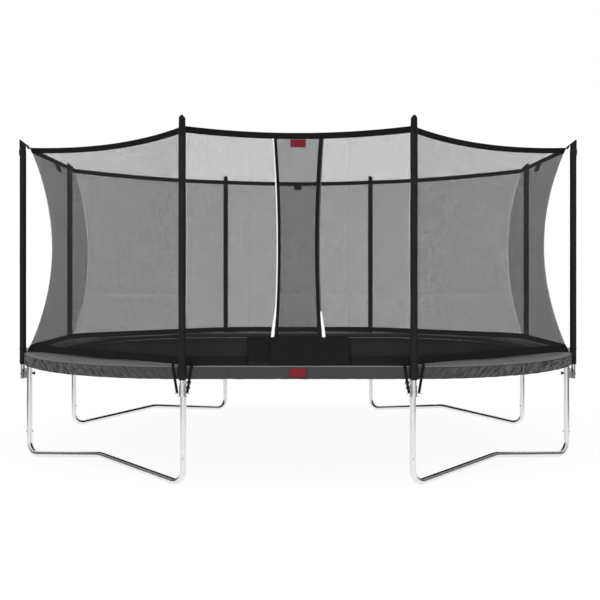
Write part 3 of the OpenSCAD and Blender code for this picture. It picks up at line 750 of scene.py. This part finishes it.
def springPlaces():  # each place: group name, frame with X outwards at the ring's height
    pitch, step = 2 * plan["halfStraight"] / springs["side"], 180 / springs["end"]
    for side, word in ((1, "right"), (-1, "left")):
        for k in range(springs["end"]):
            angle = math.radians((k + 0.5) * step - 90 * side)
            centre = Vector((side * plan["halfStraight"], 0, plan["ringHeight"]))
            yield f"springs_{word}_{k // 4 + 1}", centre, angle
    for side, word in ((1, "rear"), (-1, "front")):
        for k in range(springs["side"]):
            centre = Vector(((k + 0.5) * pitch - plan["halfStraight"], 0, plan["ringHeight"]))
            yield "springs_" + word, centre, math.radians(90 * side)


def springPath():
    lead = (springs["reach"] - springs["body"]) / 2
    hook = 0.0065
    points = [Vector((-0.003 - hook * math.sin(a), 0, hook * math.cos(a) - hook))
              for a in (math.radians(d) for d in range(-205, 1, 25))]
    points = [Vector((p.x + 0.0035, 0, p.z + hook)) for p in points]
    points.append(Vector((lead * 0.45, 0, 0.003)))
    count = springs["turns"] * springs["steps"]
    for k in range(count + 1):
        share = k / count
        turn = math.tau * k / springs["steps"]
        swell = springs["radius"] * smoothStep(0, 0.04, share) * smoothStep(0, 0.04, 1 - share)
        points.append(Vector((lead + springs["body"] * share, swell * math.sin(turn), swell * math.cos(turn))))
    points += [Vector((springs["reach"] - 0.012, 0, 0)), Vector((springs["reach"] + 0.003, 0, -0.001)),
               Vector((springs["reach"] + 0.006, 0, -0.006))]
    return points


def makeSprings():
    bm = bmesh.new()
    wireAlong(bm, springPath(), springs["wire"], 4)
    weld(bm)
    coil = meshOf("wire", bm)
    groups = {}
    for name, centre, angle in springPlaces():
        groups.setdefault(name, []).append((centre, angle))
    for name, places in groups.items():
        bm = bmesh.new()
        for centre, angle in places:
            copy = coil.copy()
            copy.transform(Matrix.Translation(centre) @ Matrix.Rotation(angle, 4, "Z")
                           @ Matrix.Translation((springs["inner"], 0, 0)))
            pour(bm, copy)
        piece = addPiece(name, bm, springWire, None, ["springs"], 60)
        angle = sum(a for _, a in places) / len(places)
        centre = places[0][0] if "front" not in name and "rear" not in name else Vector((0, 0, plan["ringHeight"]))
        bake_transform(piece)
    bpy.data.meshes.remove(coil)


def makeMatRings():
    bm = bmesh.new()
    outer = springs["inner"]
    corners = [Vector((outer - back, y, 0)) for back, y in ((0.001, 0), (0.005, 0.004), (0.032, 0.019), (0.036, 0.016),
                                                            (0.036, -0.016), (0.032, -0.019), (0.005, -0.004))]
    for _, centre, angle in springPlaces():
        wireAlong(bm, corners, springs["ringWire"], 6, Matrix.Translation(centre) @ Matrix.Rotation(angle, 4, "Z"),
                  closed=True)
    weld(bm)
    addPiece("mat_v_rings", bm, fastenerZinc, "mat_bed", ["mat_rings"], 60)


makeSprings()
makeMatRings()
print("springs made")

# ---- edge pad ----
pad = {"outer": 1.725, "seamAngle": 58.7, "step": 0.0065, "notch": 0.0305, "pucker": 0.019, "fill": 0.5,
       "top": [(1.38, 0.906), (1.3812, 0.918), (1.385, 0.926), (1.393, 0.931), (1.41, 0.935), (1.45, 0.9388),
               (1.5, 0.9402), (1.55, 0.9402), (1.6, 0.939), (1.64, 0.9372), (1.68, 0.9344), (1.705, 0.9322),
               (1.715, 0.9312)]}


def padProfile():  # closed loop of (radius, height, skin): skin is 1 on the skirt, 0 on the foam
    loop = [(1.385, 0.893, 0), (1.3812, 0.895, 0), (1.38, 0.899, 0)]
    loop += [(p.x, p.z, 0) for p in smoothPath([(r, 0, z) for r, z in pad["top"]], 36)]
    loop += [(1.72, 0.9302, 0), (1.7238, 0.9284, 0), (1.7252, 0.9255, 0), (1.725, 0.9226, 0), (1.7234, 0.9206, 1),
             (1.7246, 0.9188, 1)]
    for k in range(1, 15):
        loop.append((blend(1.7246, 1.7222, k / 14), blend(0.9175, 0.8345, k / 14), 1))
    loop += [(1.7215, 0.8318, 1), (1.72, 0.831, 1), (1.7188, 0.8322, 1), (1.7186, 0.842, 1), (1.7188, 0.856, 1),
             (1.719, 0.875, 1), (1.7195, 0.892, 1), (1.719, 0.904, 1), (1.715, 0.909, 0), (1.69, 0.9094, 0),
             (1.664, 0.9094, 0), (1.644, 0.909, 0), (1.634, 0.8995, 0), (1.6, 0.899, 0), (1.54, 0.899, 0),
             (1.48, 0.899, 0), (1.456, 0.8985, 0), (1.42, 0.8955, 0)]
    return loop


def puckers(run, height, strength, lean):  # height: 0 at the upper seam, 1 at the hem
    patch = 0.35 + 0.65 * smoothStep(-0.25, 0.45, noise.noise(Vector((run * 2.1, 3.7, 0))))
    wide = math.tau * (run / 0.062 - height * 1.5 * lean) + 4.5 * noise.noise(Vector((run * 6, height * 1.5, 0)))
    fine = math.tau * (run / 0.033 - height * 1.2 * lean) + 4.0 * noise.noise(Vector((run * 9, height * 2, 8.1)))
    ridge = (0.5 + 0.5 * math.sin(wide)) ** 2 - 0.35
    small = (0.5 + 0.5 * math.sin(fine)) ** 2 - 0.35
    nearSeam = math.exp(-((height - 0.32) / 0.38) ** 2)
    nearHem = math.exp(-((height - 1.0) / 0.16) ** 2)
    return strength * (patch * nearSeam * (ridge + 0.4 * small) + 0.3 * small * nearHem
                       + 0.4 * noise.noise(Vector((run * 11, height * 2.4, 5.0))))


def makePad(name, side, straight):  # side: +1/-1 for rear/front or right/left
    seam, half = math.radians(pad["seamAngle"]), plan["halfStraight"]
    if straight:  # arc, straight side, arc, counter-clockwise
        start = seam if side > 0 else math.pi + seam
        quarter = math.pi / 2 - seam
        pieces = [(side * half, start, quarter), None, (-side * half, start + math.pi / 2 - seam, quarter)]
    else:
        start = -seam if side > 0 else math.pi - seam
        pieces = [(side * half, start, 2 * seam)]
    outer = pad["outer"]
    lengths = [2 * half if p is None else outer * p[2] for p in pieces]
    total = sum(lengths)
    posts = [postPoint(i, outer) for i in range(8)]
    seed = side * 11 + (5 if straight else 0)
    profile = padProfile()
    perimeter = sum(math.hypot(a[0] - b[0], a[1] - b[1]) for a, b in zip(profile, profile[1:] + profile[:1]))

    def onPath(run):  # centre, angle and x shift at this run of the outer edge
        for k, length in enumerate(lengths):
            if run <= length or k == len(lengths) - 1:
                if pieces[k] is None:
                    turn = math.pi / 2 if side > 0 else -math.pi / 2
                    return Vector((side * (half - run), 0, 0)), turn
                return Vector((pieces[k][0], 0, 0)), pieces[k][1] + run / outer
            run -= length

    def place(u, t):
        radius, z, skin = profile[round(t * len(profile)) % len(profile)]
        hang = max(0, (0.9215 - z) / 0.09) if skin else 0
        run = blend(0.0005, total - 0.0005, u)
        centre, turn = onPath(run)
        outwards = outwardsAt(turn)
        spot = centre + outwards * outer
        distance = min((spot - post).length for post in posts)
        calm = smoothStep(0.05, 0.16, distance)
        ends = 0.3 + 0.7 * smoothStep(1.2, 2.1, abs(spot.x))
        if skin:
            lean = side * max(-1, min(1, spot.x / 0.6))
            fold = puckers(run + seed, hang, pad["pucker"] * ends, lean)
            radius += fold * (0.15 + 0.85 * calm) * smoothStep(0, 0.12, hang)
            z += 0.0022 * noise.noise(Vector((run * 14 + seed, 2.0, 0))) * hang
        elif z > 0.9105 and radius > 1.39:
            swell = noise.noise(Vector((run * 1.7 + seed, radius * 4, 0))) * 0.0035
            swell += noise.noise(Vector((run * 8 + seed, radius * 9, 3))) * 0.0012 - 0.0016
            swell += 0.0008 * noise.noise(Vector((run * 22, radius * 30, 1)))
            z += min(0.0006, swell) * arch(min(1, (radius - 1.385) / 0.33))
        if distance < pad["notch"]:
            limit = plan["postRadius"] - math.sqrt(pad["notch"] ** 2 - distance ** 2)
            push = max(0, outer + 0.001 - limit)
            radius -= push * smoothStep(1.655, 1.722, radius)
        point = centre + outwards * radius
        point.z = z
        return point
    bm = bmesh.new()
    gridSheet(bm, round(total / pad["step"]), len(profile), place, (total, perimeter))
    weld(bm)
    rims = [e for e in bm.edges if e.is_boundary]
    middle = sum((v.co for e in rims for v in e.verts), Vector()) / (2 * len(rims))
    axis = (rims[0].verts[0].co - middle)
    for sign in (1, -1):
        loop = [e for e in rims if (e.verts[0].co - middle).dot(axis) * sign > 0]
        bmesh.ops.triangle_fill(bm, edges=loop, use_beauty=True)
    outwardFaces(bm)
    piece = addPiece("edge_pad_" + name, bm, greyCloth, replaces=["pad_" + name], sharpAngle=70)


def makeSeamTabs():  # strips over two joints of the skirt: a pale strip on a wider black strip, which is painted shadow of the gaps beside it
    # painted shadow: the first, wider black ribbon stands for the shade in the gaps on either side of each joint strip
    for width, depth, finish, slot, name in ((0.023, 0.0016, blackWebbing, "black_webbing", "pad_joint_painted_shadows"),
                                             (0.0105, 0.0032, jointTape, "pad_cover", "pad_joint_strips")):
        bm = bmesh.new()
        for angle in (180 - pad["seamAngle"], -pad["seamAngle"]):
            turn = math.radians(angle)
            outwards = outwardsAt(turn)
            along = Vector((-math.sin(turn), math.cos(turn), 0))
            centre = Vector((math.copysign(plan["halfStraight"], outwards.x), 0, 0))
            path = [centre + outwards * (pad["outer"] + depth + 0.001 * arch(k / 12))
                    + up * blend(0.919, 0.832, k / 12) for k in range(13)]
            ribbon(bm, path, width, lambda k: along)
        piece = addPiece(name, bm, finish)
        thicken(piece, 0.0014)


makePad("front", -1, True)
makePad("rear", 1, True)
makePad("left", -1, False)
makePad("right", 1, False)
makeSeamTabs()
print("edge pad made")

# ---- straps, rings and ties ----
strap = {"width": 0.021, "thickness": 0.002, "hookSpread": 0.042, "end": 0.722, "face": 1.7286, "length": 0.262}


def makeHoldDown(i, side):
    bm = bmesh.new()
    radii = [1.695, 1.708, 1.7225, strap["face"], strap["face"] + 0.0004, 1.7275, 1.7265]
    heights = [0.947, 0.942, 0.936, 0.921, 0.88, 0.826, strap["end"] + 0.004]
    spreads = [0.076, 0.074, 0.0725, 0.07, 0.062, 0.0545, strap["hookSpread"] - 0.004]
    matrix = postFrame(i, 0)
    points = [Vector((r, side * s, z)) for r, z, s in zip(radii, heights, spreads)]
    path = [matrix @ p for p in smoothPath(points, 36)]
    tangent = matrix.to_3x3() @ Vector((0, 1, 0))
    ribbon(bm, path, strap["width"], lambda k: tangent * side)
    outwardFaces(bm)
    return bm


def makeStraps():
    for i in range(8):
        bm = bmesh.new()
        for side in (1, -1):
            pour(bm, meshOf("part", makeHoldDown(i, side)))
        piece = addPiece("hold_down_straps_" + postNames[i], bm, blackWebbing,
                         replaces=["hold_down_straps"])
        thicken(piece, strap["thickness"])


def ladderBuckle(bm, width, height, bar=0.0052, thick=0.0042):  # two-window slide buckle
    made = bmesh.ops.create_grid(bm, x_segments=1, y_segments=2, size=0.5)["verts"]
    bmesh.ops.scale(bm, vec=(width, height, 1), verts=made)
    faces = list({f for v in made for f in v.link_faces})
    bmesh.ops.inset_individual(bm, faces=faces, thickness=bar)
    bmesh.ops.delete(bm, geom=faces, context="FACES")
    rest = list({f for v in made for f in v.link_faces})
    shell = bmesh.ops.solidify(bm, geom=rest, thickness=thick)
    verts = list({v for f in rest for v in f.verts} | {v for v in shell["geom"] if isinstance(v, bmesh.types.BMVert)})
    bmesh.ops.recalc_face_normals(bm, faces=list({f for v in verts for f in v.link_faces}))
    sharp = [e for e in {e for v in verts for e in v.link_edges} if e.calc_face_angle(0) > 1.0]
    bmesh.ops.bevel(bm, geom=sharp, offset=thick * 0.22, segments=2, profile=0.5, affect="EDGES", material=-1)


def makeBuckles():
    bm = bmesh.new()
    hooks = bmesh.new()
    for i in range(8):
        toCentre = 1 if i in (1, 4, 5) else -1  # which of the two straps has the buckles
        base = postFrame(i, 0)
        lean = Matrix.Rotation(math.radians(-9 * toCentre), 4, "X")
        for height, spread, size in ((0.806, 0.0515, (0.034, 0.026)), (0.768, 0.0455, (0.032, 0.02))):
            one = bmesh.new()
            ladderBuckle(one, *size)
            spot = base @ Matrix.Translation((1.7272, toCentre * spread, height)) @ lean @ Matrix(
                ((0, 0, 1, 0), (1, 0, 0, 0), (0, 1, 0, 0), (0, 0, 0, 1)))
            move(one, spot)
            pour(bm, meshOf("part", one))
        for side in (1, -1):  # wire hooks under the bracket's lower edge
            bar = [(1.727, -0.016, 0), (1.727, 0.012, 0), (1.727, 0.014, 0.004)]
            shank = [(1.727, -0.016, 0), (1.727, -0.02, 0.003), (1.727, -0.021, 0.012), (1.727, -0.018, 0.02),
                     (1.728, -0.012, 0.023), (1.728, -0.004, 0.0205)]
            for line in (bar, shank):
                path = [(r, side * (strap["hookSpread"] + y), strap["end"] - drop) for r, y, drop in line]
                wireAlong(hooks, smoothPath(path, 14), 0.0022, 8, base)
    weld(hooks)
    addPiece("strap_buckles", bm, plastic)
    addPiece("strap_hooks", hooks, plateSteel, sharpAngle=60)


def makeCornerStraps():  # from the net's corner over the slanted cap and down its outer side
    bm = bmesh.new()
    sliders = bmesh.new()
    width, thickness = 0.02, 0.004
    centre, r, top = plan["postRadius"], cap["radius"], cap["bottom"] + cap["height"]
    onSlant = [(centre + r * s - 0.0014, top - cap["drop"] * (1 - s) / 2 + 0.0019) for s in (-1, -0.5, 0, 0.5, 0.85)]
    side = centre + r + 0.0022
    points = [(1.6735, 2.768), (1.6895, 2.7885)] + onSlant + [(side - 0.002, top + 0.0012), (side, top - 0.003)]
    points += [(side, top - 0.04), (side, cap["bottom"] + 0.012), (side + 0.0025, cap["bottom"] + 0.001),
               (side + 0.0025, cap["bottom"] - 0.03), (side + 0.0025, cap["bottom"] - 0.06)]
    for i in range(8):
        matrix = postFrame(i, 0)
        path = [matrix @ p for p in smoothPath([Vector((a, 0, b)) for a, b in points], 78)]
        tangent = matrix.to_3x3() @ Vector((0, 1, 0))

        def across(k, path=path, tangent=tangent):  # the strap turns flat on its way from the net to the cap
            ahead = (path[min(k + 1, 78)] - path[max(k - 1, 0)]).normalized()
            turn = math.radians(90) * (1 - smoothStep(2, 13, k))
            return tangent * math.cos(turn) + ahead.cross(tangent) * math.sin(turn)
        ribbon(bm, path, width, across)
        outside = side + 0.0025 + thickness / 2
        wireAlong(sliders, smoothPath([(outside - 0.001, -0.0125, 2.735), (outside + 0.0022, -0.008, 2.735),
                                       (outside + 0.0022, 0.008, 2.735), (outside - 0.001, 0.0125, 2.735)], 12),
                  0.0022, 8, matrix)
    weld(sliders)
    piece = addPiece("net_corner_straps", bm, blackWebbing, replaces=["corner_straps"])
    thicken(piece, thickness)
    addPiece("corner_strap_sliders", sliders, plastic, sharpAngle=60)


def makeTies():  # short cord loops from the corner rings round the sleeves
    bm = bmesh.new()
    for i in range(8):
        matrix = postFrame(i, plan["postRadius"])
        z, loopRadius, cord = 0.969, 0.0305, 0.0021
        loop = [Vector((loopRadius * math.cos(a), loopRadius * math.sin(a), z - 0.004 * math.cos(a)))
                for a in (math.radians(d) for d in range(0, 360, 12))]
        wireAlong(bm, loop, cord, 6, matrix, closed=True)
        wireAlong(bm, smoothPath([(-loopRadius, 0.003, z), (-0.0335, 0.004, z - 0.004), (-0.034, -0.003, z - 0.01),
                                  (-0.0315, -0.006, z - 0.022)], 10), cord, 6, matrix)
    weld(bm)
    addPiece("corner_ties", bm, blackWebbing, sharpAngle=60)


makeStraps()
makeBuckles()
makeCornerStraps()
makeTies()
print("straps made")


# ---- labels ----
def makeLabel(name, place, body="frame", finish=label):
    bm = bmesh.new()
    gridSheet(bm, 14, 7, place, (1, 1))
    piece = addPiece(name, bm, finish, body)
    thicken(piece, 0.0012, 1.0)


def netLabel(name, bay, width, top, height, off, body="frame", finish=label):
    share = width / bayLength(bay, 1) / 2

    def place(u, t):
        return netPoint(bay, blend(0.5 - share, 0.5 + share, u), blend(top - height / netSpan, top, t), off)
    makeLabel(name, place, body, finish)


netLabel("label_entrance", doorBay, 0.121, bandShare - 0.004 / netSpan, 0.06, 0.0095, "outer_flap")
for name, bay, width, rise, height in (("rear_panel", 1, 0.092, 0.008, 0.06), ("left_end", 3, 0.13, 0.002, 0.072),
                                       ("right_end", 7, 0.13, 0.002, 0.072)):
    for word, off, finish in (("label_", 0.003, label), ("label_back_", -0.0042, labelBack)):
        netLabel(word + name, bay, width, bandShare + rise / netSpan, height, off, finish=finish)
makeLabel("label_skirt", lambda u, t: Vector((blend(-0.061, 0.061, u), -pad["outer"] - 0.0035,
                                              blend(0.8435, 0.9145, t))))
print("labels made")

# ---- stage ----
studio = {"camera": (0, -7.464, 1.624), "focalPixels": 751.4, "principal": (298.05, 275.45), "picture": 600,
          "softness": 50, "suns": {"left": ((-0.85, -0.42, 0.45), 2.0), "right": ((0.85, -0.42, 0.45), 1.5),
                                   "top": ((0, -0.15, 1), 0.8)}, "fill": 0.5, "sideTone": 0.12, "floorShare": 0.08,
          "floorGlow": 1.02, "floorDim": 0.85, "sensor": 36}
floorMesh = bmesh.new()
bmesh.ops.create_grid(floorMesh, x_segments=1, y_segments=1, size=60)
floorFinish = Finish("studio_floor", {"Roughness": 0.9})
floorFinish.tree.nodes.remove(floorFinish.shader)
light = floorFinish.node("ShaderNodeLightPath", output=None)
plain = floorFinish.node("ShaderNodeBsdfDiffuse", inputs={0: grey(0.8)})
reach = abs(floorFinish.split(floorFinish.place())[0])
dim = floorFinish.node("ShaderNodeMapRange", inputs={  # seen by metal only
    0: reach, 1: 3.2, 2: 4.6, 3: 0.0, 4: studio["floorDim"] / studio["floorGlow"]})
glow = floorFinish.mix(light[3] * dim, grey(1.0), grey(0.0))
bright = floorFinish.node("ShaderNodeEmission", inputs={0: glow, 1: studio["floorGlow"]})
soft = floorFinish.node("ShaderNodeMixShader", inputs={0: studio["floorShare"], 1: bright, 2: plain})
shown = floorFinish.node("ShaderNodeMixShader", inputs={0: light[0] | light[3] | light[6], 1: plain, 2: soft})
floorFinish.tree.links.new(shown.socket, floorFinish.tree.nodes["Material Output"].inputs[0])
data = meshOf("floor", floorMesh)
data.materials.append(floorFinish.material)
addObject("floor", data)

world = bpy.data.worlds.new("studio")
bpy.context.scene.world = world
world.use_nodes = True
sky = Board(world.node_tree)
light = sky.node("ShaderNodeLightPath", output=None)
around = sky.node("ShaderNodeTexCoord", output="Generated")
heading = sky.node("ShaderNodeSeparateXYZ", inputs={0: around}, output=None)[0]
mirrored = sky.node("ShaderNodeMapRange", {"interpolation_type": "SMOOTHSTEP"},
                    {0: abs(heading), 1: 0.45, 2: 0.85, 3: 0.8, 4: studio["sideTone"]})  # the room's sides are darker
seen = light[0] | light[6]
strength = seen + (1 - seen) * (light[3] * mirrored + (1 - light[3]) * studio["fill"])
sky.tree.links.new(strength.socket, sky.tree.nodes["Background"].inputs["Strength"])
sky.tree.nodes["Background"].inputs["Color"].default_value = (1, 1, 1, 1)

for name, (direction, power) in studio["suns"].items():
    lamp = bpy.data.lights.new(name, "SUN")
    lamp.energy, lamp.angle = power, math.radians(studio["softness"])
    holder = addObject(name, lamp)
    holder.rotation_euler = Vector(direction).to_track_quat("Z", "Y").to_euler()
    holder.visible_glossy = False

eye = bpy.data.cameras.new("camera")
eye.sensor_width = studio["sensor"]
eye.lens = studio["sensor"] * studio["focalPixels"] / studio["picture"]
eye.shift_x = (studio["picture"] / 2 - studio["principal"][0]) / studio["picture"]
eye.shift_y = (studio["principal"][1] - studio["picture"] / 2) / studio["picture"]
camera = addObject("camera", eye)
camera.location = studio["camera"]
camera.rotation_euler = (math.pi / 2, 0, 0)
bpy.context.scene.camera = camera
bpy.context.scene.view_settings.view_transform = "Standard"
print("stage set")

bpy.context.view_layer.update()
